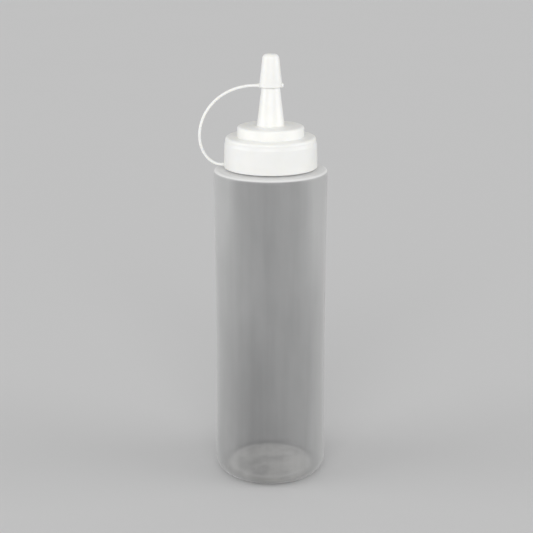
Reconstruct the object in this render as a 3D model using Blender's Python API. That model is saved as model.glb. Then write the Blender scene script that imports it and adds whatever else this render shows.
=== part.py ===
"""Squeeze bottle with a screw-on nozzle cap and a tethered tip cap.

Units are metres, +Z is up, and the origin is the centre of the base, on the bottle's axis.
The strap that ties the tip cap to the collar lies in the XZ plane, on the -X side.
"""

import math

import bmesh
import bpy
from mathutils import Vector

# Driving sizes
BODY_RADIUS = 0.0250        # at the foot of the side wall
BODY_TOP = 0.1404           # top face of the shoulder
CAP_BOTTOM = 0.1413         # lower edge of the collar
CAP_TOP = 0.1546            # top face of the collar
OVERALL_HEIGHT = 0.1897     # top of the tip cap
THREAD_PITCH = 0.00423      # six turns per inch, as on a 38-400 neck
CLEARANCE = 0.0003          # gap between pieces that touch on the real bottle
SEGMENTS = 48               # sides of a full turn
EDGE_BREAK = 0.0003         # small chamfer on moulded edges

# Bottle
WALL = 0.0010
BASE_WALL = 0.0014
HEEL_RADIUS = 0.0056
RECESS_HEIGHT = 0.0008      # how far the middle of the base stands off the table
RECESS_RADIUS = 0.0172
RING_RADIUS = 0.0182        # inner edge of the ring that the bottle stands on
SHOULDER_RADIUS = 0.02475   # at the head of the side wall
SHOULDER_CORNER = 0.0018
WAIST = 0.00042             # how far the side wall draws in at mid height
WAIST_FROM, WAIST_TO = 0.009, 0.136
WAIST_EASE_LOW, WAIST_EASE_HIGH = 0.032, 0.050
WALL_FROM, WALL_TO, WALL_STEPS = 0.0106, 0.1356, 9      # heights where the side wall is drawn

# Neck
NECK_RADIUS = 0.01745
NECK_BORE = 0.0156
NECK_TOP = 0.1508
NECK_FILLET = 0.0006
LIP_CHAMFER = 0.0004

# Thread ridges, shared by the neck and the collar
RIDGE_HEIGHT = 0.0011
RIDGE_ROOT, RIDGE_CREST = 0.0016, 0.0008     # widths along the axis
RIDGE_BURIED = 0.0003
RIDGE_FADE = 1 / 12                          # turns over which an end rises to full height
NECK_THREAD_FROM, NECK_THREAD_TURNS = 0.1426, 1.5
CAP_THREAD_START, CAP_THREAD_TURNS = -0.5, 1.25

# Seal washer
WASHER_THICKNESS = 0.0013
WASHER_INNER, WASHER_OUTER = 0.0136, 0.0183

# Collar, step and nozzle
COLLAR_BOTTOM_RADIUS, COLLAR_TOP_RADIUS = 0.02025, 0.01995
COLLAR_BORE = 0.0189
COLLAR_LINE = 0.1513        # where the straight side ends
GROOVE_Z, GROOVE_RADIUS = 0.1529, 0.01955
TOP_EDGE_RADIUS, TOP_EDGE_ROUND = 0.01964, 0.0013
STEP_TOP, STEP_RADIUS, STEP_ROUND, STEP_BORE = 0.1591, 0.01446, 0.0011, 0.0130
STEP_ROOF = 0.0015
NOZZLE_TOP = 0.1870
NOZZLE_BASE_RADIUS, NOZZLE_TIP_RADIUS = 0.00597, 0.00258
NOZZLE_BORE_BASE, NOZZLE_BORE_TIP = 0.0047, 0.00125
NOZZLE_FILLET = 0.0006

# Tip cap
TIP_BOTTOM = 0.1757
TIP_BOTTOM_RADIUS, TIP_TOP_RADIUS, TIP_ROUND = 0.0050, 0.0034, 0.0021
TIP_ROOF = 0.0022
PLUG_RADIUS, PLUG_LENGTH = 0.00075, 0.0026
NUB_REACH, NUB_MIDDLE, NUB_HEIGHT, NUB_WIDTH = 0.0055, 0.17635, 0.0018, 0.0024
NUB_ROUND, NUB_BURIED = 0.0004, 0.0005       # the nub is a small grip on the rim, opposite the strap

# Strap
STRAP_THICKNESS, STRAP_WIDTH = 0.0012, 0.0017
STRAP_LEFT = 0.0306         # how far the strap's middle bows out from the axis
STRAP_TOP_Z, STRAP_BOTTOM_Z, STRAP_WIDEST_Z = 0.1763, 0.1422, 0.1545
STRAP_STRAIGHT_END = 0.0068
STRAP_LOWER_CENTRE = 0.0210
STRAP_STEPS = 14            # stretches in each quarter of the bow

# Lugs that carry the strap on the tip cap's rim and on the collar
TIP_LUG_END, COLLAR_LUG_END = 0.0060, 0.0210
LUG_THICKNESS, LUG_ROUND = 0.0016, 0.0003
LUG_BURIED = 0.0007

WASHER_BOTTOM = NECK_TOP + CLEARANCE
WASHER_TOP = WASHER_BOTTOM + WASHER_THICKNESS
CAP_CEILING = WASHER_TOP + CLEARANCE
STEP_CEILING = STEP_TOP - STEP_ROOF


def clear_scene():
    for obj in list(bpy.data.objects):
        bpy.data.objects.remove(obj, do_unlink=True)


def plastic(name, colour, roughness, transmission=0.0):
    material = bpy.data.materials.new(name)
    material.use_nodes = True
    shader = material.node_tree.nodes["Principled BSDF"]
    shader.inputs["Base Color"].default_value = (*colour, 1.0)
    shader.inputs["Roughness"].default_value = roughness
    shader.inputs["Transmission Weight"].default_value = transmission
    return material


def add_object(name, mesh_data, material=None, smooth_under=math.radians(35)):
    """Makes an object of a bmesh, with its faces pointing out."""
    bmesh.ops.remove_doubles(mesh_data, verts=mesh_data.verts, dist=1e-7)
    bmesh.ops.recalc_face_normals(mesh_data, faces=mesh_data.faces)
    mesh = bpy.data.meshes.new(name)
    mesh_data.to_mesh(mesh)
    mesh_data.free()
    mesh.shade_smooth()
    mesh.set_sharp_from_angle(angle=smooth_under)
    if material:
        mesh.materials.append(material)
    obj = bpy.data.objects.new(name, mesh)
    bpy.context.scene.collection.objects.link(obj)
    return obj


def arc(centre, radius, start, end, steps):
    """Points (r, z) on an arc, with angles in degrees from the +r direction."""
    points = []
    for step in range(steps + 1):
        angle = math.radians(start + (end - start) * step / steps)
        points.append((centre[0] + radius * math.cos(angle), centre[1] + radius * math.sin(angle)))
    return points


def turned(name, outline, material):
    """A solid turned about the Z axis from an outline of (r, z) points."""
    shape = bmesh.new()
    ring = [shape.verts.new((radius, 0.0, height)) for radius, height in outline]
    edges = [shape.edges.new(pair) for pair in zip(ring, ring[1:])]
    if outline[0][0] > 0 or outline[-1][0] > 0:
        edges.append(shape.edges.new((ring[-1], ring[0])))
    bmesh.ops.spin(shape, geom=ring + edges, cent=(0, 0, 0), axis=(0, 0, 1),
                   angle=2 * math.pi, steps=SEGMENTS, use_merge=True)
    return add_object(name, shape, material)


def swept(sections):
    """A closed solid through a list of equal-sided sections."""
    shape = bmesh.new()
    rings = [[shape.verts.new(point) for point in section] for section in sections]
    sides = len(rings[0])
    for near, far in zip(rings, rings[1:]):
        for side in range(sides):
            following = (side + 1) % sides
            shape.faces.new((near[side], near[following], far[following], far[side]))
    shape.faces.new(rings[0])
    shape.faces.new(rings[-1])
    return shape


def helper(name, shape):
    obj = add_object(name, shape)
    obj.hide_render = True
    obj.display_type = "WIRE"
    return obj


def unite(obj, other):
    modifier = obj.modifiers.new("Add " + other.name, "BOOLEAN")
    modifier.operation = "UNION"
    modifier.object = other


def thread_ridge(name, wall_radius, outward, start_height, start_turn, turns):
    """A helical ridge on a wall: outward = 1 on the outside of a neck, -1 inside a collar."""
    sections = []
    steps = round(turns * SEGMENTS)
    for step in range(steps + 1):
        turn = turns * step / steps
        rise = min(1.0, turn / RIDGE_FADE, (turns - turn) / RIDGE_FADE)
        buried = wall_radius - outward * RIDGE_BURIED
        crest = buried + outward * (RIDGE_BURIED * 0.6 + (RIDGE_HEIGHT + RIDGE_BURIED * 0.4) * rise)
        height = start_height + THREAD_PITCH * turn
        angle = 2 * math.pi * (start_turn + turn)
        corners = ((buried, -RIDGE_ROOT / 2), (buried, RIDGE_ROOT / 2),
                   (crest, RIDGE_CREST / 2), (crest, -RIDGE_CREST / 2))
        sections.append([(radius * math.cos(angle), radius * math.sin(angle), height + along)
                         for radius, along in corners])
    return helper(name, swept(sections))


def rounded_block(name, low, high, rounding):
    """A box between two corners, with rounded edges."""
    shape = bmesh.new()
    bmesh.ops.create_cube(shape, size=1.0)
    size = Vector(high) - Vector(low)
    middle = (Vector(high) + Vector(low)) / 2
    for vert in shape.verts:
        vert.co = Vector([c * s for c, s in zip(vert.co, size)]) + middle
    bmesh.ops.bevel(shape, geom=shape.edges[:] + shape.verts[:], offset=rounding,
                    segments=2, profile=0.5, affect="EDGES")
    return helper(name, shape)


def body_radius(height):
    """Outside radius of the side wall, which tapers slightly and draws in between heel and shoulder."""
    low = min(1.0, max(0.0, (height - WAIST_FROM) / WAIST_EASE_LOW))
    high = min(1.0, max(0.0, (WAIST_TO - height) / WAIST_EASE_HIGH))
    risen = min(1.0, max(0.0, (height - WAIST_FROM) / (WAIST_TO - WAIST_FROM)))
    tapered = BODY_RADIUS + (SHOULDER_RADIUS - BODY_RADIUS) * risen
    return tapered - WAIST * math.sin(math.pi / 2 * low) * math.sin(math.pi / 2 * high)


def bottle_outline():
    stations = [WALL_FROM + (WALL_TO - WALL_FROM) * step / WALL_STEPS for step in range(WALL_STEPS + 1)]
    heel = (BODY_RADIUS - HEEL_RADIUS, HEEL_RADIUS)
    corner = (SHOULDER_RADIUS - SHOULDER_CORNER, BODY_TOP - SHOULDER_CORNER)

    outside = [(0.0, RECESS_HEIGHT), (RECESS_RADIUS, RECESS_HEIGHT), (RING_RADIUS, 0.0)]
    outside += arc(heel, HEEL_RADIUS, -90, 0, 6)
    outside += [(body_radius(height), height) for height in stations]
    outside += arc(corner, SHOULDER_CORNER, 0, 90, 4)
    outside += [(NECK_RADIUS + NECK_FILLET, BODY_TOP + NECK_FILLET / 2)]
    outside += [(NECK_RADIUS, BODY_TOP + NECK_FILLET * 1.5)]
    outside += [(NECK_RADIUS, NECK_TOP - LIP_CHAMFER), (NECK_RADIUS - LIP_CHAMFER, NECK_TOP)]

    inside = [(NECK_BORE + LIP_CHAMFER, NECK_TOP), (NECK_BORE, NECK_TOP - LIP_CHAMFER)]
    inside += [(NECK_BORE, BODY_TOP - WALL), (NECK_BORE + WALL, BODY_TOP - 1.3 * WALL)]
    inside += arc(corner, SHOULDER_CORNER - WALL, 90, 0, 2)
    inside += [(body_radius(height) - WALL, height) for height in reversed(stations)]
    inside += arc(heel, HEEL_RADIUS - WALL, 0, -80, 4)
    inside += [(RING_RADIUS, BASE_WALL), (RECESS_RADIUS, RECESS_HEIGHT + BASE_WALL)]
    inside += [(0.0, RECESS_HEIGHT + BASE_WALL)]
    return outside + inside


def make_bottle(material):
    bottle = turned("bottle", bottle_outline(), material)
    unite(bottle, thread_ridge("neck_thread", NECK_RADIUS, 1, NECK_THREAD_FROM, 0.0, NECK_THREAD_TURNS))
    return bottle


def make_seal_washer(material):
    outline = [(WASHER_INNER, WASHER_BOTTOM), (WASHER_OUTER, WASHER_BOTTOM),
               (WASHER_OUTER, WASHER_TOP), (WASHER_INNER, WASHER_TOP)]
    return turned("seal_washer", outline, material)


def nozzle_radius(height):
    """Outside radius of the nozzle's cone."""
    share = (height - STEP_TOP) / (NOZZLE_TOP - STEP_TOP)
    return NOZZLE_BASE_RADIUS + (NOZZLE_TIP_RADIUS - NOZZLE_BASE_RADIUS) * share


def cap_outline():
    outside = [(COLLAR_BORE + CLEARANCE, CAP_BOTTOM), (COLLAR_BOTTOM_RADIUS - EDGE_BREAK, CAP_BOTTOM)]
    outside += [(COLLAR_BOTTOM_RADIUS, CAP_BOTTOM + EDGE_BREAK), (COLLAR_TOP_RADIUS, COLLAR_LINE)]
    outside += [(GROOVE_RADIUS, GROOVE_Z)]
    outside += arc((TOP_EDGE_RADIUS - TOP_EDGE_ROUND, CAP_TOP - TOP_EDGE_ROUND), TOP_EDGE_ROUND, 0, 90, 4)
    outside += [(STEP_RADIUS + EDGE_BREAK, CAP_TOP), (STEP_RADIUS, CAP_TOP + EDGE_BREAK)]
    outside += arc((STEP_RADIUS - STEP_ROUND, STEP_TOP - STEP_ROUND), STEP_ROUND, 0, 90, 3)
    outside += [(NOZZLE_BASE_RADIUS + NOZZLE_FILLET, STEP_TOP)]
    outside += [(nozzle_radius(STEP_TOP + NOZZLE_FILLET), STEP_TOP + NOZZLE_FILLET)]
    outside += [(nozzle_radius(NOZZLE_TOP - EDGE_BREAK), NOZZLE_TOP - EDGE_BREAK)]
    outside += [(NOZZLE_TIP_RADIUS - EDGE_BREAK, NOZZLE_TOP)]

    inside = [(NOZZLE_BORE_TIP, NOZZLE_TOP), (NOZZLE_BORE_BASE, STEP_CEILING)]
    inside += [(STEP_BORE - EDGE_BREAK, STEP_CEILING), (STEP_BORE, STEP_CEILING - EDGE_BREAK)]
    inside += [(STEP_BORE, CAP_CEILING), (COLLAR_BORE, CAP_CEILING), (COLLAR_BORE, CAP_BOTTOM + CLEARANCE)]
    return outside + inside


def make_nozzle_cap(material):
    cap = turned("nozzle_cap", cap_outline(), material)
    start_height = NECK_THREAD_FROM + (0.5 + CAP_THREAD_START) * THREAD_PITCH
    unite(cap, thread_ridge("cap_thread", COLLAR_BORE, -1, start_height, CAP_THREAD_START, CAP_THREAD_TURNS))
    add_lug(cap, "collar_lug", COLLAR_BOTTOM_RADIUS - LUG_BURIED, COLLAR_LUG_END, STRAP_BOTTOM_Z)
    return cap


def tip_outline():
    crown = (TIP_TOP_RADIUS - TIP_ROUND, OVERALL_HEIGHT - TIP_ROUND)
    ceiling = OVERALL_HEIGHT - TIP_ROOF
    plug_end = ceiling - PLUG_LENGTH
    outside = [(0.0, OVERALL_HEIGHT)]
    outside += arc(crown, TIP_ROUND, 90, 6, 4)
    outside += [(TIP_BOTTOM_RADIUS, TIP_BOTTOM + EDGE_BREAK), (TIP_BOTTOM_RADIUS - EDGE_BREAK, TIP_BOTTOM)]
    inside = [(nozzle_radius(TIP_BOTTOM) + CLEARANCE, TIP_BOTTOM), (nozzle_radius(ceiling) + CLEARANCE, ceiling)]
    inside += [(PLUG_RADIUS, ceiling), (PLUG_RADIUS, plug_end + EDGE_BREAK), (PLUG_RADIUS - EDGE_BREAK, plug_end)]
    inside += [(0.0, plug_end)]
    return outside + inside


def add_lug(obj, name, start, end, height):
    """A stub on the -X side from radius start, inside the wall, out to radius end."""
    low = (-end, -STRAP_WIDTH / 2, height - LUG_THICKNESS / 2)
    high = (-start, STRAP_WIDTH / 2, height + LUG_THICKNESS / 2)
    unite(obj, rounded_block(name, low, high, LUG_ROUND))


def make_tip_cap(material):
    tip = turned("tip_cap", tip_outline(), material)
    low = (TIP_BOTTOM_RADIUS - NUB_BURIED, -NUB_WIDTH / 2, NUB_MIDDLE - NUB_HEIGHT / 2)
    high = (NUB_REACH, NUB_WIDTH / 2, NUB_MIDDLE + NUB_HEIGHT / 2)
    unite(tip, rounded_block("nub", low, high, NUB_ROUND))
    add_lug(tip, "tip_lug", TIP_BOTTOM_RADIUS - LUG_BURIED, TIP_LUG_END, STRAP_TOP_Z)
    return tip


def strap_route():
    """Middle line of the strap in the XZ plane, as (x, z): a short straight, then two quarter ellipses."""
    upper = (STRAP_LEFT - STRAP_STRAIGHT_END, STRAP_TOP_Z - STRAP_WIDEST_Z)
    lower = (STRAP_LEFT - STRAP_LOWER_CENTRE, STRAP_WIDEST_Z - STRAP_BOTTOM_Z)
    route = [(-TIP_LUG_END - CLEARANCE, STRAP_TOP_Z)]
    for step in range(STRAP_STEPS):
        angle = math.pi / 2 * step / STRAP_STEPS
        route.append((-STRAP_STRAIGHT_END - upper[0] * math.sin(angle),
                      STRAP_WIDEST_Z + upper[1] * math.cos(angle)))
    # The lower quarter stops short of the lug on the collar.
    stop = math.acos((COLLAR_LUG_END + CLEARANCE - STRAP_LOWER_CENTRE) / lower[0])
    for step in range(STRAP_STEPS + 1):
        angle = stop * step / STRAP_STEPS
        route.append((-STRAP_LOWER_CENTRE - lower[0] * math.cos(angle),
                      STRAP_WIDEST_Z - lower[1] * math.sin(angle)))
    return route


def make_tether_strap(material):
    route = [Vector((x, 0.0, z)) for x, z in strap_route()]
    half_thick, half_wide, chamfer = STRAP_THICKNESS / 2, STRAP_WIDTH / 2, STRAP_THICKNESS / 4
    corners = [(half_thick, half_wide - chamfer), (half_thick - chamfer, half_wide)]
    corners += [(-thick, wide) for thick, wide in reversed(corners)]
    corners += [(-thick, -wide) for thick, wide in corners]
    sections = []
    for index, point in enumerate(route):
        along = (route[min(index + 1, len(route) - 1)] - route[max(index - 1, 0)]).normalized()
        across = Vector((-along.z, 0.0, along.x))
        sections.append([point + across * thick + Vector((0.0, wide, 0.0)) for thick, wide in corners])
    return add_object("tether_strap", swept(sections), material)


def main():
    clear_scene()
    bottle_plastic = plastic("bottle_plastic", (0.72, 0.73, 0.74), 0.35, 0.6)
    cap_plastic = plastic("cap_plastic", (0.90, 0.90, 0.87), 0.38)
    washer_foam = plastic("washer_foam", (0.86, 0.86, 0.84), 0.8)
    make_bottle(bottle_plastic)
    make_seal_washer(washer_foam)
    make_nozzle_cap(cap_plastic)
    make_tip_cap(cap_plastic)
    make_tether_strap(cap_plastic)


main()
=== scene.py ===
import math

import bmesh
import bpy
from mathutils import Matrix, Vector


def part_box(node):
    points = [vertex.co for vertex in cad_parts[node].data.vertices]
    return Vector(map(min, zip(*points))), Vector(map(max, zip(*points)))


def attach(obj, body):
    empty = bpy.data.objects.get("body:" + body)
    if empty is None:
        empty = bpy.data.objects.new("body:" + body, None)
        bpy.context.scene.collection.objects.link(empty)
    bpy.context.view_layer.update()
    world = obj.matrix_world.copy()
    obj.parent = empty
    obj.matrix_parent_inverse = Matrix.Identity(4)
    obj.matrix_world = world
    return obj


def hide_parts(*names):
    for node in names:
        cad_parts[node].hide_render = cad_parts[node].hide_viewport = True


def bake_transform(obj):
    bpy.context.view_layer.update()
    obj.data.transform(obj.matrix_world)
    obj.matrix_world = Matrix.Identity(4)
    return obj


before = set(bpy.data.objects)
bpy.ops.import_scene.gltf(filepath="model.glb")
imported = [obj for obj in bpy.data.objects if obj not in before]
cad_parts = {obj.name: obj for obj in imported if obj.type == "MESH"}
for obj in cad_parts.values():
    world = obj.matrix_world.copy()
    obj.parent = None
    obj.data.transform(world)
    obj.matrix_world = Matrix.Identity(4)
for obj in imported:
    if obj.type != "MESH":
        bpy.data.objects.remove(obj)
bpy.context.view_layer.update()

# ---------------------------------------------------------------------------------------------
# Sizes, in metres. The outer ones come from the frame.
# ---------------------------------------------------------------------------------------------
BODY_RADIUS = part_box("bottle")[1].y
NECK_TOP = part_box("bottle")[1].z
CAP_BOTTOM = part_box("nozzle_cap")[0].z
NOZZLE_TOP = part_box("nozzle_cap")[1].z
COLLAR_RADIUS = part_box("nozzle_cap")[1].y
TIP_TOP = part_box("tip_cap")[1].z
TIP_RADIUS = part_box("tip_cap")[1].y
NUB_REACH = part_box("tip_cap")[1].x
WASHER_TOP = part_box("seal_washer")[1].z
STRAP_LEFT = -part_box("tether_strap")[0].x
STRAP_WIDTH = 2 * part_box("tether_strap")[1].y

SEGMENTS = 144              # sides of a full turn
THREAD_PITCH = 0.00423
CLEARANCE = 0.0003

# Bottle
BODY_TOP = 0.1404
SHOULDER_RADIUS = 0.02475
WALL = 0.0010
BASE_WALL = 0.0014
SHOULDER_WALL = 1.2 * WALL
HEEL_RADIUS = 0.0056
RECESS_HEIGHT, RECESS_RADIUS, RING_RADIUS = 0.0008, 0.0172, 0.0182
RECESS_ROUND, RING_ROUND = 0.0010, 0.0004
INNER_RING_OUT, INNER_RING_ROUND = 0.0002, 0.0006       # the same two corners on the inside
INNER_RECESS_IN, INNER_RECESS_ROUND = 0.0004, 0.0008
SHOULDER_CORNER = 0.0018
WAIST = 0.00042             # how far the side wall draws in at mid height
WAIST_FROM, WAIST_TO = 0.009, 0.136
WAIST_EASE_LOW, WAIST_EASE_HIGH = 0.032, 0.050
WALL_STEPS = 40             # stretches of the side wall
WALL_GAP_LOW, WALL_GAP_HIGH = 0.002, 0.001      # from them to the heel and to the shoulder's corner
NECK_RADIUS, NECK_BORE = 0.01745, 0.0156
NECK_ROOT_RISE, NECK_ROOT_ROUND = 0.0003, 0.0007
NECK_LIP_ROUND, NECK_BORE_ROUND = 0.0004, 0.0010

# Thread ridges
RIDGE_HEIGHT, RIDGE_BURIED = 0.0011, 0.0003
RIDGE_ROOT, RIDGE_CREST = 0.0016, 0.0008
RIDGE_FADE = 1 / 12         # of a turn, in which the ridge rises to its full height
RIDGE_FADED = 0.6           # how far out of the buried depth the ridge starts
CREST_DROP, CREST_OUT, CREST_IN = 0.00018, 0.00008, 0.00016     # the crest's bevel
NECK_THREAD_FROM, NECK_THREAD_TURNS = 0.1426, 1.5
CAP_THREAD_START, CAP_THREAD_TURNS = -0.5, 1.25

# Nozzle cap
COLLAR_TOP_RADIUS, COLLAR_BORE, COLLAR_ROUND = 0.01995, 0.0189, 0.0003
LEAD_IN, LEAD_IN_ROUND = 0.0006, 0.0001         # the slope at the bore's mouth
COLLAR_LINE, COLLAR_LINE_ROUND = 0.1515, 0.0014
GROOVE_Z, GROOVE_RADIUS, GROOVE_ROUND = 0.1529, 0.01955, 0.0004
CAP_TOP, TOP_EDGE_RADIUS, TOP_EDGE_ROUND = 0.1546, 0.01964, 0.0013
STEP_TOP, STEP_RADIUS, STEP_ROUND, STEP_BORE = 0.1591, 0.01446, 0.0011, 0.0130
STEP_ROOT_ROUND, STEP_DRAFT, STEP_ROOF = 0.0003, 0.00006, 0.0015
NOZZLE_BASE_RADIUS, NOZZLE_TIP_RADIUS = 0.00597, 0.00258
NOZZLE_BORE_BASE, NOZZLE_BORE_TIP = 0.0047, 0.00125
NOZZLE_FILLET, NOZZLE_RIM_ROUND, NOZZLE_HOLE_ROUND = 0.0007, 0.0004, 0.0002
CAP_CEILING = WASHER_TOP + CLEARANCE
STEP_CEILING = STEP_TOP - STEP_ROOF
NOZZLE_MOUTH_ROUND, STEP_CEILING_ROUND = 0.0006, 0.0004
STEP_BORE_ROUND, CAP_CEILING_ROUND = 0.0002, 0.0003

# Tip cap
TIP_BOTTOM = 0.1757
TIP_TOP_RADIUS, TIP_ROUND, TIP_ROOF = 0.0034, 0.0021, 0.0022
TIP_RIM_ROUND, TIP_CEILING_ROUND = 0.0003, 0.0004
LIP_GAP = 0.00004           # between the tip cap's lip and the cone
LIP_HEIGHT, LIP_ROUND = 0.0006, 0.00005
PLUG_RADIUS, PLUG_LENGTH, PLUG_ROUND = 0.00075, 0.0026, 0.0003
NUB_MIDDLE, NUB_HEIGHT, NUB_WIDTH = 0.17635, 0.0018, 0.0024
NUB_BURIED, NUB_POWER = 0.0008, 0.75            # under 1, the power squares off the ellipsoid
NUB_SEGMENTS, NUB_RINGS = 40, 24

# Strap
STRAP_THICKNESS = 0.0012
STRAP_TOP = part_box("tether_strap")[1].z - STRAP_THICKNESS / 2        # heights of its middle line
STRAP_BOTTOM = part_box("tether_strap")[0].z + STRAP_THICKNESS / 2
STRAP_WIDEST_Z, STRAP_STRAIGHT_END = 0.1545, 0.0068
STRAP_LOWER_CENTRE = 0.0210
STRAP_STEPS = 48            # stretches in each quarter of the bow
TIP_END_STEPS, COLLAR_END_STEPS = 8, 3          # stretches in its straight ends
STRAP_SIDES, STRAP_POWER = 20, 0.6              # under 1, the power squares off its round section
STRAP_BURIED = 0.0006       # how far each end runs into the wall that it springs from
FLARE_LENGTH, TIP_FLARE, COLLAR_FLARE = 0.0020, 0.9, 0.35

# Colours (linear) and how much of the view each part of the bottle's surface blocks
THIN, MILKY_AND_PAINTED_LIGHT = (0.205, 0.206, 0.205), (0.50, 0.501, 0.498)
# the neck-root colour is painted light, lifting the shade in the gap under the collar
THICK, SHOULDER, NECK_ROOT_PAINTED_LIGHT = (0.80, 0.80, 0.79), (0.67, 0.67, 0.66), (0.84, 0.84, 0.83)
BASE_TINT, RING_TINT = (0.96, 0.94, 0.89), (0.99, 0.975, 0.94)
THIN_COVER, THICK_COVER, SHOULDER_COVER, BASE_COVER, EDGE_COVER = 0.57, 0.95, 0.88, 0.97, 0.8
INNER_COVER = 0.04          # the inner skin is all but clear
CLEAR_TINT = (0.955, 0.957, 0.96)
CAP_DARK, CAP_LIGHT = (0.91, 0.91, 0.88), (0.93, 0.93, 0.90)
FOAM_DARK, FOAM_LIGHT = (0.72, 0.72, 0.70), (0.87, 0.87, 0.85)
FLOOR_DARK, FLOOR_LIGHT = (0.69, 0.69, 0.69), (0.70, 0.70, 0.70)
CAP_DEPTH, TIP_DEPTH = 0.0012, 0.0004           # how deep light spreads in thick and in thin walls

# How much each thing adds to the wall's paleness, from 0 to 1: the drift is the plastic's own tone, while the
# shares for the top, the sides and the band near the shoulder are painted light
UPWARD_PAINTED_LIGHT, DRIFT_MILK, SIDE_PAINTED_LIGHT, BAND_PAINTED_HIGHLIGHT = 0.30, 0.30, 0.40, 0.28
HIGHLIGHT_BAND_PLACE = 0.80            # sideways share of the radius at which the painted highlight band stands
BASE_SHADE = 0.62           # the base's dark patches against its light ones
# strength of the painted glow in the base, standing in for light led into it
BASE_PAINTED_GLOW = 0.12

# Studio and camera
FLOOR_HALF = 8.0
SKY_STRENGTH = 0.47
SUNS = (("key", 1.27, (0.05, 0.95, -0.31), 50),         # name, strength, direction, spread in degrees
        ("left", 1.0, (1.0, 0.17, -0.27), 45),
        ("right", 1.0, (-1.0, 0.17, -0.27), 45))
SENSOR_WIDTH, LENS = 36.0, 80.4                         # in millimetres
CAMERA_PLACE, CAMERA_DOWN = (-0.0018, -0.5066, 0.2474), 16.64
CAMERA_NEAR, CAMERA_FAR = 0.01, 50.0


# ---------------------------------------------------------------------------------------------
# Mesh helpers
# ---------------------------------------------------------------------------------------------
def link(name, shape, smooth_under=math.radians(40)):
    """Makes a smooth-shaded object of a bmesh, with its faces pointing out."""
    bmesh.ops.remove_doubles(shape, verts=shape.verts, dist=1e-7)
    bmesh.ops.recalc_face_normals(shape, faces=shape.faces)
    mesh = bpy.data.meshes.new(name)
    shape.to_mesh(mesh)
    shape.free()
    mesh.shade_smooth()
    mesh.set_sharp_from_angle(angle=smooth_under)
    obj = bpy.data.objects.new(name, mesh)
    bpy.context.scene.collection.objects.link(obj)
    return obj


def rounded(corners, steps=5):
    """An outline of (r, z) points from corners (r, z, rounding): each rounding becomes an arc."""
    outline = []
    for index, (radius, height, rounding) in enumerate(corners):
        here = Vector((radius, height))
        if rounding == 0 or index in (0, len(corners) - 1):
            outline.append(here)
            continue
        back = (Vector(corners[index - 1][:2]) - here).normalized()
        ahead = (Vector(corners[index + 1][:2]) - here).normalized()
        half = back.angle(ahead) / 2
        centre = here + (back + ahead).normalized() * rounding / math.sin(half)
        first = here + back * rounding / math.tan(half) - centre
        last = here + ahead * rounding / math.tan(half) - centre
        sweep = first.angle_signed(last)
        for step in range(steps + 1):
            turn = Matrix.Rotation(-sweep * step / steps, 2)
            outline.append(centre + turn @ first)
    return outline


def turned(name, outline):
    """A solid turned about the Z axis from an outline of (r, z) points."""
    shape = bmesh.new()
    ring = [shape.verts.new((radius, 0.0, height)) for radius, height in outline]
    edges = [shape.edges.new(pair) for pair in zip(ring, ring[1:])]
    if outline[0][0] > 0 or outline[-1][0] > 0:
        edges.append(shape.edges.new((ring[-1], ring[0])))
    bmesh.ops.spin(shape, geom=ring + edges, cent=(0, 0, 0), axis=(0, 0, 1),
                   angle=2 * math.pi, steps=SEGMENTS, use_merge=True)
    return link(name, shape)


def swept(sections):
    """A closed solid through a list of equal-sided sections."""
    shape = bmesh.new()
    rings = [[shape.verts.new(point) for point in section] for section in sections]
    sides = len(rings[0])
    for near, far in zip(rings, rings[1:]):
        for side in range(sides):
            following = (side + 1) % sides
            shape.faces.new((near[side], near[following], far[following], far[side]))
    shape.faces.new(rings[0])
    shape.faces.new(rings[-1])
    return shape


def unite(obj, other, smooth_under=math.radians(40)):
    """Adds another closed solid to obj, clears slivers out of the joint, and removes the other."""
    modifier = obj.modifiers.new("unite", "BOOLEAN")
    modifier.operation = "UNION"
    modifier.object = other
    joined = bpy.data.meshes.new_from_object(obj.evaluated_get(bpy.context.evaluated_depsgraph_get()))
    clean = bmesh.new()
    clean.from_mesh(joined)
    bmesh.ops.remove_doubles(clean, verts=clean.verts, dist=2e-6)
    bmesh.ops.dissolve_degenerate(clean, edges=clean.edges, dist=1e-6)
    clean.to_mesh(joined)
    clean.free()
    obj.modifiers.clear()
    obj.data = joined
    joined.shade_smooth()
    joined.set_sharp_from_angle(angle=smooth_under)
    bpy.data.objects.remove(other, do_unlink=True)


def thread_ridge(wall_radius, outward, start_height, start_turn, turns):
    """A helical ridge on a wall: outward = 1 on the outside of a neck, -1 inside a collar."""
    sections = []
    steps = round(turns * SEGMENTS)
    for step in range(steps + 1):
        turn = turns * step / steps
        rise = min(1.0, turn / RIDGE_FADE, (turns - turn) / RIDGE_FADE)
        buried = wall_radius - outward * RIDGE_BURIED
        start = RIDGE_BURIED * RIDGE_FADED
        crest = buried + outward * (start + (RIDGE_HEIGHT + RIDGE_BURIED - start) * rise)
        height = start_height + THREAD_PITCH * turn
        angle = 2 * math.pi * (start_turn + turn)
        shy = crest - outward * CREST_DROP * rise
        corners = ((buried, -RIDGE_ROOT / 2), (buried, RIDGE_ROOT / 2),
                   (shy, RIDGE_CREST / 2 + CREST_OUT), (crest, RIDGE_CREST / 2 - CREST_IN),
                   (crest, -RIDGE_CREST / 2 + CREST_IN), (shy, -RIDGE_CREST / 2 - CREST_OUT))
        sections.append([(radius * math.cos(angle), radius * math.sin(angle), height + along)
                         for radius, along in corners])
    return link("thread", swept(sections))


# ---------------------------------------------------------------------------------------------
# Pieces
# ---------------------------------------------------------------------------------------------
def share(value):
    """The value, kept between 0 and 1."""
    return min(1.0, max(0.0, value))


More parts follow.
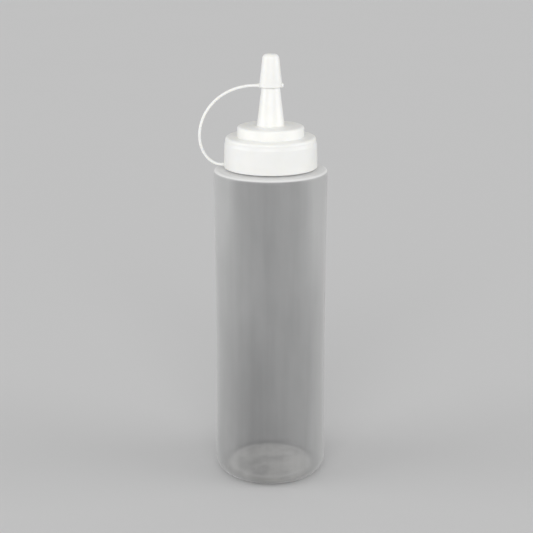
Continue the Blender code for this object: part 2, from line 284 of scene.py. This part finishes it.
def body_radius(height):
    """Outside radius of the side wall, which tapers slightly and draws in between heel and shoulder."""
    low = share((height - WAIST_FROM) / WAIST_EASE_LOW)
    high = share((WAIST_TO - height) / WAIST_EASE_HIGH)
    risen = share((height - WAIST_FROM) / (WAIST_TO - WAIST_FROM))
    tapered = BODY_RADIUS + (SHOULDER_RADIUS - BODY_RADIUS) * risen
    return tapered - WAIST * math.sin(math.pi / 2 * low) * math.sin(math.pi / 2 * high)


def make_bottle():
    """The hollow bottle: base and side wall, shoulder, neck and lip, then back down the inside."""
    low, high = HEEL_RADIUS + WALL_GAP_LOW, BODY_TOP - SHOULDER_CORNER - WALL_GAP_HIGH
    stations = [low + (high - low) * step / WALL_STEPS for step in range(WALL_STEPS + 1)]
    wall = [(body_radius(height), height, 0) for height in stations]
    lining = [(radius - WALL, height, 0) for radius, height, _ in reversed(wall)]
    inner_top, inner_base = BODY_TOP - SHOULDER_WALL, RECESS_HEIGHT + BASE_WALL

    corners = [(0.0, RECESS_HEIGHT, 0), (RECESS_RADIUS, RECESS_HEIGHT, RECESS_ROUND)]
    corners += [(RING_RADIUS, 0.0, RING_ROUND), (BODY_RADIUS, 0.0, HEEL_RADIUS)] + wall
    corners += [(SHOULDER_RADIUS, BODY_TOP, SHOULDER_CORNER)]
    corners += [(NECK_RADIUS, BODY_TOP + NECK_ROOT_RISE, NECK_ROOT_ROUND)]
    corners += [(NECK_RADIUS, NECK_TOP, NECK_LIP_ROUND), (NECK_BORE, NECK_TOP, NECK_LIP_ROUND)]
    corners += [(NECK_BORE, inner_top, NECK_BORE_ROUND)]
    corners += [(SHOULDER_RADIUS - WALL, inner_top, SHOULDER_CORNER - WALL)] + lining
    corners += [(BODY_RADIUS - WALL, WALL, HEEL_RADIUS - WALL)]
    corners += [(RING_RADIUS + INNER_RING_OUT, BASE_WALL, INNER_RING_ROUND)]
    corners += [(RECESS_RADIUS - INNER_RECESS_IN, inner_base, INNER_RECESS_ROUND), (0.0, inner_base, 0)]
    bottle = turned("bottle_body", rounded(corners, 8))
    unite(bottle, thread_ridge(NECK_RADIUS, 1, NECK_THREAD_FROM, 0.0, NECK_THREAD_TURNS))
    return bottle


def nozzle_radius(height):
    """Outside radius of the nozzle's cone."""
    risen = (height - STEP_TOP) / (NOZZLE_TOP - STEP_TOP)
    return NOZZLE_BASE_RADIUS + (NOZZLE_TIP_RADIUS - NOZZLE_BASE_RADIUS) * risen


def make_nozzle_cap():
    """The screw cap: up the outside to the nozzle's end, then down its bore and the collar's."""
    corners = [(COLLAR_BORE + LEAD_IN, CAP_BOTTOM, 0), (COLLAR_RADIUS, CAP_BOTTOM, COLLAR_ROUND)]
    corners += [(COLLAR_TOP_RADIUS, COLLAR_LINE, COLLAR_LINE_ROUND)]
    corners += [(GROOVE_RADIUS, GROOVE_Z, GROOVE_ROUND), (TOP_EDGE_RADIUS, CAP_TOP, TOP_EDGE_ROUND)]
    corners += [(STEP_RADIUS, CAP_TOP, STEP_ROOT_ROUND), (STEP_RADIUS - STEP_DRAFT, STEP_TOP, STEP_ROUND)]
    corners += [(nozzle_radius(STEP_TOP), STEP_TOP, NOZZLE_FILLET)]
    corners += [(nozzle_radius(NOZZLE_TOP), NOZZLE_TOP, NOZZLE_RIM_ROUND)]
    corners += [(NOZZLE_BORE_TIP, NOZZLE_TOP, NOZZLE_HOLE_ROUND)]
    corners += [(NOZZLE_BORE_BASE, STEP_CEILING, NOZZLE_MOUTH_ROUND)]
    corners += [(STEP_BORE, STEP_CEILING, STEP_CEILING_ROUND), (STEP_BORE, CAP_CEILING, STEP_BORE_ROUND)]
    corners += [(COLLAR_BORE, CAP_CEILING, CAP_CEILING_ROUND)]
    corners += [(COLLAR_BORE, CAP_BOTTOM + LEAD_IN, LEAD_IN_ROUND)]
    cap = turned("screw_cap_with_nozzle", rounded(corners))
    start_height = NECK_THREAD_FROM + (0.5 + CAP_THREAD_START) * THREAD_PITCH
    unite(cap, thread_ridge(COLLAR_BORE, -1, start_height, CAP_THREAD_START, CAP_THREAD_TURNS))
    return cap


def make_tip_cap():
    """A domed cone with a small grip on its rim, and a plug pin under its roof."""
    ceiling = TIP_TOP - TIP_ROOF
    plug_end = ceiling - PLUG_LENGTH
    lip_top = TIP_BOTTOM + LIP_HEIGHT
    corners = [(0.0, TIP_TOP, 0), (TIP_TOP_RADIUS, TIP_TOP, TIP_ROUND)]
    corners += [(TIP_RADIUS, TIP_BOTTOM, TIP_RIM_ROUND)]
    corners += [(nozzle_radius(TIP_BOTTOM) + LIP_GAP, TIP_BOTTOM, LIP_ROUND)]
    corners += [(nozzle_radius(lip_top) + CLEARANCE, lip_top, 0)]
    corners += [(nozzle_radius(ceiling) + CLEARANCE, ceiling, TIP_CEILING_ROUND)]
    corners += [(PLUG_RADIUS, ceiling, PLUG_ROUND), (PLUG_RADIUS, plug_end, PLUG_ROUND), (0.0, plug_end, 0)]
    tip = turned("tip_cap_body", rounded(corners, 8))

    shape = bmesh.new()
    bmesh.ops.create_uvsphere(shape, u_segments=NUB_SEGMENTS, v_segments=NUB_RINGS, radius=1.0)
    inner = TIP_RADIUS - NUB_BURIED
    size = Vector(((NUB_REACH - inner) / 2, NUB_WIDTH / 2, NUB_HEIGHT / 2))
    for vert in shape.verts:
        squared = [math.copysign(abs(part) ** NUB_POWER, part) for part in vert.co]
        vert.co = Vector([part * half for part, half in zip(squared, size)])
        vert.co += Vector(((NUB_REACH + inner) / 2, 0.0, NUB_MIDDLE))
    unite(tip, link("nub", shape))
    return tip


def strap_route():
    """Middle line of the strap in the XZ plane: two quarter ellipses between short straight ends."""
    left = STRAP_LEFT - STRAP_THICKNESS / 2
    upper = (left - STRAP_STRAIGHT_END, STRAP_TOP - STRAP_WIDEST_Z)
    lower = (left - STRAP_LOWER_CENTRE, STRAP_WIDEST_Z - STRAP_BOTTOM)
    tip_end = TIP_RADIUS - STRAP_BURIED
    collar_end = COLLAR_RADIUS - STRAP_BURIED
    route = []
    for step in range(TIP_END_STEPS):
        route.append((-tip_end + (tip_end - STRAP_STRAIGHT_END) * step / TIP_END_STEPS, STRAP_TOP))
    for step in range(STRAP_STEPS):
        angle = math.pi / 2 * step / STRAP_STEPS
        route.append((-STRAP_STRAIGHT_END - upper[0] * math.sin(angle),
                      STRAP_WIDEST_Z + upper[1] * math.cos(angle)))
    for step in range(STRAP_STEPS):
        angle = math.pi / 2 * step / STRAP_STEPS
        route.append((-STRAP_LOWER_CENTRE - lower[0] * math.cos(angle),
                      STRAP_WIDEST_Z - lower[1] * math.sin(angle)))
    for step in range(COLLAR_END_STEPS + 1):
        along = (STRAP_LOWER_CENTRE - collar_end) * step / COLLAR_END_STEPS
        route.append((-STRAP_LOWER_CENTRE + along, STRAP_BOTTOM))
    return [Vector((x, 0.0, z)) for x, z in route]


def make_strap():
    """A rounded strip that thickens at its two roots."""
    route = strap_route()
    lengths = [0.0]
    for here, following in zip(route, route[1:]):
        lengths.append(lengths[-1] + (following - here).length)
    sections = []
    for index, point in enumerate(route):
        along = (route[min(index + 1, len(route) - 1)] - route[max(index - 1, 0)]).normalized()
        across = Vector((-along.z, 0.0, along.x))
        tip_root = max(0.0, 1 - lengths[index] / FLARE_LENGTH) ** 2
        collar_root = max(0.0, 1 - (lengths[-1] - lengths[index]) / FLARE_LENGTH) ** 2
        flare = 1 + TIP_FLARE * tip_root + COLLAR_FLARE * collar_root
        section = []
        for side in range(STRAP_SIDES):
            angle = 2 * math.pi * side / STRAP_SIDES
            thick = math.copysign(abs(math.cos(angle)) ** STRAP_POWER, math.cos(angle)) * STRAP_THICKNESS / 2
            wide = math.copysign(abs(math.sin(angle)) ** STRAP_POWER, math.sin(angle)) * STRAP_WIDTH / 2
            section.append(point + (across * thick + Vector((0.0, wide, 0.0))) * flare)
        sections.append(section)
    return link("tether_strap_bow", swept(sections))


# ---------------------------------------------------------------------------------------------
# Materials
# ---------------------------------------------------------------------------------------------
class Nodes:
    """A material under construction, with short ways to add and join nodes."""

    def __init__(self, name):
        self.material = bpy.data.materials.new(name)
        self.material.use_nodes = True
        self.tree = self.material.node_tree
        self.shader = self.tree.nodes["Principled BSDF"]
        self.output = self.tree.nodes["Material Output"]
        self.place = self.add("ShaderNodeTexCoord").outputs["Object"]

    def add(self, kind, **settings):
        node = self.tree.nodes.new(kind)
        for key, value in settings.items():
            setattr(node, key, value)
        return node

    def join(self, source, target):
        self.tree.links.new(source, target)

    def stretched(self, scale):
        node = self.add("ShaderNodeMapping")
        node.inputs["Scale"].default_value = scale
        self.join(self.place, node.inputs["Vector"])
        return node.outputs["Vector"]

    def noise(self, scale, detail=3.0, roughness=0.5, stretch=(1, 1, 1)):
        node = self.add("ShaderNodeTexNoise")
        node.inputs["Scale"].default_value = scale
        node.inputs["Detail"].default_value = detail
        node.inputs["Roughness"].default_value = roughness
        self.join(self.stretched(stretch), node.inputs["Vector"])
        return node.outputs["Fac"]

    def spread(self, source, low, high, to_low=0.0, to_high=1.0):
        """Maps source smoothly from low..high to to_low..to_high."""
        node = self.add("ShaderNodeMapRange", interpolation_type="SMOOTHSTEP")
        for name, value in zip(("From Min", "From Max", "To Min", "To Max"), (low, high, to_low, to_high)):
            node.inputs[name].default_value = value
        self.join(source, node.inputs["Value"])
        return node.outputs["Result"]

    def blend(self, factor, first, second):
        """Mixes two colours, each a tuple or a socket."""
        node = self.add("ShaderNodeMix", data_type="RGBA")
        for index, colour in ((6, first), (7, second)):
            if isinstance(colour, (tuple, list)):
                node.inputs[index].default_value = (*colour, 1.0)
            else:
                self.join(colour, node.inputs[index])
        self.join(factor, node.inputs[0])
        return node.outputs[2]

    def maths(self, operation, first, second):
        node = self.add("ShaderNodeMath", operation=operation)
        for socket, value in zip(node.inputs, (first, second)):
            if isinstance(value, (int, float)):
                socket.default_value = value
            else:
                self.join(value, socket)
        return node.outputs[0]

    def bump(self, source, strength, distance):
        node = self.add("ShaderNodeBump")
        node.inputs["Strength"].default_value = strength
        node.inputs["Distance"].default_value = distance
        self.join(source, node.inputs["Height"])
        return node.outputs["Normal"]


def bottle_plastic():
    """Natural low-density polyethylene: milky, waxy, see-through where thin, paler where thick, with painted
    light on its sides, upper wall and neck root and a painted glow in its base.
    """
    m = Nodes("bottle_plastic")
    axes = m.add("ShaderNodeSeparateXYZ")
    m.join(m.place, axes.inputs[0])
    x, z = axes.outputs["X"], axes.outputs["Z"]
    flat = m.add("ShaderNodeVectorMath", operation="LENGTH")
    m.join(m.stretched((1, 1, 0)), flat.inputs[0])
    radius = flat.outputs["Value"]

    # Where things are: each mask is 1 there and 0 elsewhere.
    shoulder = m.spread(z, BODY_TOP - 0.0008, BODY_TOP - 0.0002)
    rim = m.maths("MULTIPLY", m.spread(z, BODY_TOP - 0.0013, BODY_TOP - 0.0006),
                  m.spread(radius, SHOULDER_RADIUS - 0.0016, SHOULDER_RADIUS - 0.0008))
    low = m.spread(z, 0.0036, 0.0026)
    disc = m.maths("MULTIPLY", low, m.spread(radius, RING_RADIUS + 0.0029, RING_RADIUS - 0.0004))
    from_ring = m.maths("ABSOLUTE", m.maths("SUBTRACT", radius, RECESS_RADIUS + 0.0002), 0)
    ring = m.maths("MULTIPLY", low, m.spread(from_ring, 0.0012, 0.0003))
    # Painted light: the shoulder next to the neck, in the collar's shade, is painted paler.
    painted_light_under_collar = m.spread(radius, COLLAR_RADIUS + 0.0006, COLLAR_RADIUS - 0.0004)
    # The inner skin of wall and heel is told from the outer one by its distance from the heel's centre line.
    out = m.maths("MAXIMUM", m.maths("SUBTRACT", radius, BODY_RADIUS - HEEL_RADIUS), 0.0)
    down = m.maths("MINIMUM", m.maths("SUBTRACT", z, HEEL_RADIUS), 0.0)
    squares = m.maths("ADD", m.maths("POWER", out, 2.0), m.maths("MULTIPLY", down, down))
    away = m.maths("POWER", squares, 0.5)
    inner = m.spread(away, HEEL_RADIUS - 0.60 * WALL, HEEL_RADIUS - 0.85 * WALL)

    # The wall is painted paler at its sides along X, towards the top, and most of all in a band near the
    # shoulder:
    # painted light and painted highlights for how the lamps light its edges and upper wall. It is blown from
    # a hanging tube, which leaves soft upright streaks.
    sideways = m.maths("DIVIDE", m.maths("ABSOLUTE", x, 0), radius)
    side = m.spread(m.maths("POWER", sideways, 1.5), 0.0, 1.0)
    streaks = m.noise(110, 4.0, 0.5, (1, 1, 0.07))
    clouds = m.noise(45, 3.0, 0.5, (1, 1, 0.5))
    drift = m.maths("ADD", m.maths("MULTIPLY", streaks, 0.55), m.maths("MULTIPLY", clouds, 0.45))
    painted_top_light = m.spread(z, 0.010, 0.135)
    milk_and_painted_light = m.maths("ADD", m.maths("MULTIPLY", painted_top_light, UPWARD_PAINTED_LIGHT),
                   m.maths("MULTIPLY", m.spread(drift, 0.32, 0.68), DRIFT_MILK))
    milk_and_painted_light = m.maths("ADD", milk_and_painted_light, m.maths("MULTIPLY", side, SIDE_PAINTED_LIGHT))
    off_highlight_band = m.maths("ABSOLUTE", m.maths("SUBTRACT", sideways, HIGHLIGHT_BAND_PLACE), 0)
    painted_highlight_band = m.maths("MULTIPLY", m.spread(off_highlight_band, 0.22, 0.02), m.spread(z, 0.085, 0.128))
    milk_and_painted_light = m.maths("ADD", milk_and_painted_light, m.maths("MULTIPLY", painted_highlight_band, BAND_PAINTED_HIGHLIGHT))
    colour = m.blend(milk_and_painted_light, THIN, MILKY_AND_PAINTED_LIGHT)
    dull = m.noise(120, 3.0, 0.6)
    dark_base = [part * BASE_SHADE for part in BASE_TINT]
    base_colour = m.blend(m.spread(dull, 0.38, 0.62), dark_base, BASE_TINT)
    colour = m.blend(disc, colour, base_colour)
    colour = m.blend(ring, colour, RING_TINT)
    colour = m.blend(shoulder, colour, m.blend(painted_light_under_collar, SHOULDER, NECK_ROOT_PAINTED_LIGHT))
    colour = m.blend(rim, colour, THICK)
    m.join(colour, m.shader.inputs["Base Color"])
    # Painted glow: the base disc and its ring emit faintly, standing in for light that the wall leads down
    # into the thick base.
    painted_glow = m.blend(m.maths("MAXIMUM", disc, ring), (0.0, 0.0, 0.0), base_colour)
    m.join(painted_glow, m.shader.inputs["Emission Color"])
    m.shader.inputs["Emission Strength"].default_value = BASE_PAINTED_GLOW
    m.join(m.spread(clouds, 0.3, 0.7, 0.28, 0.38), m.shader.inputs["Roughness"])
    m.shader.inputs["IOR"].default_value = 1.51
    m.shader.inputs["Sheen Weight"].default_value = 0.5
    m.shader.inputs["Sheen Roughness"].default_value = 0.6
    grain = m.noise(2600, 2.0)
    relief = m.maths("ADD", m.maths("MULTIPLY", grain, 0.12), streaks)
    m.join(m.bump(relief, 0.12, 0.0003), m.shader.inputs["Normal"])

    # How much of the view each surface blocks: more where the line of sight runs along the wall.
    slant = m.add("ShaderNodeLayerWeight")
    slant.inputs["Blend"].default_value = 0.45
    outer = m.maths("MULTIPLY", slant.outputs["Facing"], EDGE_COVER * (1 - THIN_COVER))
    outer = m.maths("ADD", outer, THIN_COVER)
    cover = m.maths("MULTIPLY", outer, m.spread(inner, 0.0, 1.0, 1.0, INNER_COVER))
    cover = m.maths("MAXIMUM", cover, m.maths("MULTIPLY", disc, BASE_COVER))
    cover = m.maths("MAXIMUM", cover, m.maths("MULTIPLY", shoulder, SHOULDER_COVER))
    cover = m.maths("MAXIMUM", cover, m.maths("MULTIPLY", m.maths("MAXIMUM", rim, ring), THICK_COVER))
    clear = m.add("ShaderNodeBsdfTransparent")
    clear.inputs["Color"].default_value = (*CLEAR_TINT, 1.0)
    mix = m.add("ShaderNodeMixShader")
    m.join(cover, mix.inputs[0])
    m.join(clear.outputs[0], mix.inputs[1])
    m.join(m.shader.outputs[0], mix.inputs[2])
    m.join(mix.outputs[0], m.output.inputs["Surface"])
    return m.material


def cap_plastic(name, depth):
    """White polyethylene with a satin, faintly grained skin, in which light spreads to about depth."""
    m = Nodes(name)
    cloud = m.noise(120, 3.0, 0.5)
    grain = m.noise(3000, 2.0, 0.5)
    m.join(m.blend(m.spread(cloud, 0.3, 0.7), CAP_DARK, CAP_LIGHT), m.shader.inputs["Base Color"])
    m.join(m.spread(cloud, 0.3, 0.7, 0.29, 0.35), m.shader.inputs["Roughness"])
    m.shader.inputs["IOR"].default_value = 1.50
    m.shader.inputs["Subsurface Weight"].default_value = 0.6
    m.shader.inputs["Subsurface Radius"].default_value = (1.0, 0.95, 0.85)
    m.shader.inputs["Subsurface Scale"].default_value = depth
    relief = m.maths("ADD", m.maths("MULTIPLY", grain, 0.35), m.maths("MULTIPLY", cloud, 0.25))
    m.join(m.bump(relief, 0.14, 0.00015), m.shader.inputs["Normal"])
    return m.material


def washer_foam():
    """White closed-cell foam liner."""
    m = Nodes("washer_foam")
    cells = m.add("ShaderNodeTexVoronoi")
    cells.inputs["Scale"].default_value = 2600
    m.join(m.place, cells.inputs["Vector"])
    paler = m.spread(cells.outputs["Distance"], 0.0, 0.8)
    m.join(m.blend(paler, FOAM_DARK, FOAM_LIGHT), m.shader.inputs["Base Color"])
    m.join(m.spread(cells.outputs["Distance"], 0.0, 0.8, 0.9, 0.75), m.shader.inputs["Roughness"])
    m.join(m.bump(cells.outputs["Distance"], 0.3, 0.0002), m.shader.inputs["Normal"])
    return m.material


def floor_paint():
    """Plain pale studio floor."""
    m = Nodes("floor_paint")
    m.join(m.blend(m.noise(3.0, 4.0), FLOOR_DARK, FLOOR_LIGHT), m.shader.inputs["Base Color"])
    m.shader.inputs["Roughness"].default_value = 0.9
    m.shader.inputs["Specular IOR Level"].default_value = 0.1
    return m.material


# ---------------------------------------------------------------------------------------------
# Assembly
# ---------------------------------------------------------------------------------------------
def fit_out():
    """Makes every piece, hangs the bottle and the two caps on the bodies that they ride on, and hides the
    frame's parts that the pieces stand for.
    """
    bottle = make_bottle()
    bottle.data.materials.append(bottle_plastic())
    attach(bottle, "bottle")
    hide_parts("bottle")

    white = cap_plastic("cap_plastic", CAP_DEPTH)
    cap = make_nozzle_cap()
    cap.data.materials.append(white)
    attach(cap, "nozzle_cap")
    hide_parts("nozzle_cap")

    tip = make_tip_cap()
    tip.data.materials.append(cap_plastic("thin_cap_plastic", TIP_DEPTH))
    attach(tip, "tip_cap")
    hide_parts("tip_cap")

    strap = make_strap()
    strap.data.materials.append(white)
    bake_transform(strap)
    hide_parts("tether_strap")

    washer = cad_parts["seal_washer"]
    washer.data.materials.clear()
    washer.data.materials.append(washer_foam())


# ---------------------------------------------------------------------------------------------
# Studio
# ---------------------------------------------------------------------------------------------
def make_floor():
    mesh = bpy.data.meshes.new("floor")
    corners = [(x * FLOOR_HALF, y * FLOOR_HALF, 0) for x, y in ((-1, -1), (1, -1), (1, 1), (-1, 1))]
    mesh.from_pydata(corners, [], [(0, 1, 2, 3)])
    floor = bpy.data.objects.new("floor", mesh)
    bpy.context.scene.collection.objects.link(floor)
    mesh.materials.append(floor_paint())


def add_sun(name, energy, direction, spread):
    lamp = bpy.data.lights.new(name, "SUN")
    lamp.energy = energy
    lamp.angle = math.radians(spread)
    obj = bpy.data.objects.new(name, lamp)
    obj.rotation_euler = Vector(direction).to_track_quat("-Z", "Y").to_euler()
    bpy.context.scene.collection.objects.link(obj)


def make_studio():
    scene = bpy.context.scene
    scene.view_settings.view_transform = "Standard"
    world = bpy.data.worlds.new("studio")
    world.use_nodes = True
    world.node_tree.nodes["Background"].inputs["Color"].default_value = (1.0, 1.0, 1.0, 1.0)
    world.node_tree.nodes["Background"].inputs["Strength"].default_value = SKY_STRENGTH
    scene.world = world
    for sun in SUNS:
        add_sun(*sun)


def make_camera():
    camera = bpy.data.objects.new("camera", bpy.data.cameras.new("camera"))
    camera.data.sensor_width = SENSOR_WIDTH
    camera.data.lens = LENS
    camera.data.clip_start = CAMERA_NEAR
    camera.data.clip_end = CAMERA_FAR
    camera.location = CAMERA_PLACE
    camera.rotation_euler = (math.radians(90 - CAMERA_DOWN), 0.0, 0.0)
    bpy.context.scene.collection.objects.link(camera)
    bpy.context.scene.camera = camera


fit_out()
make_floor()
make_studio()
make_camera()
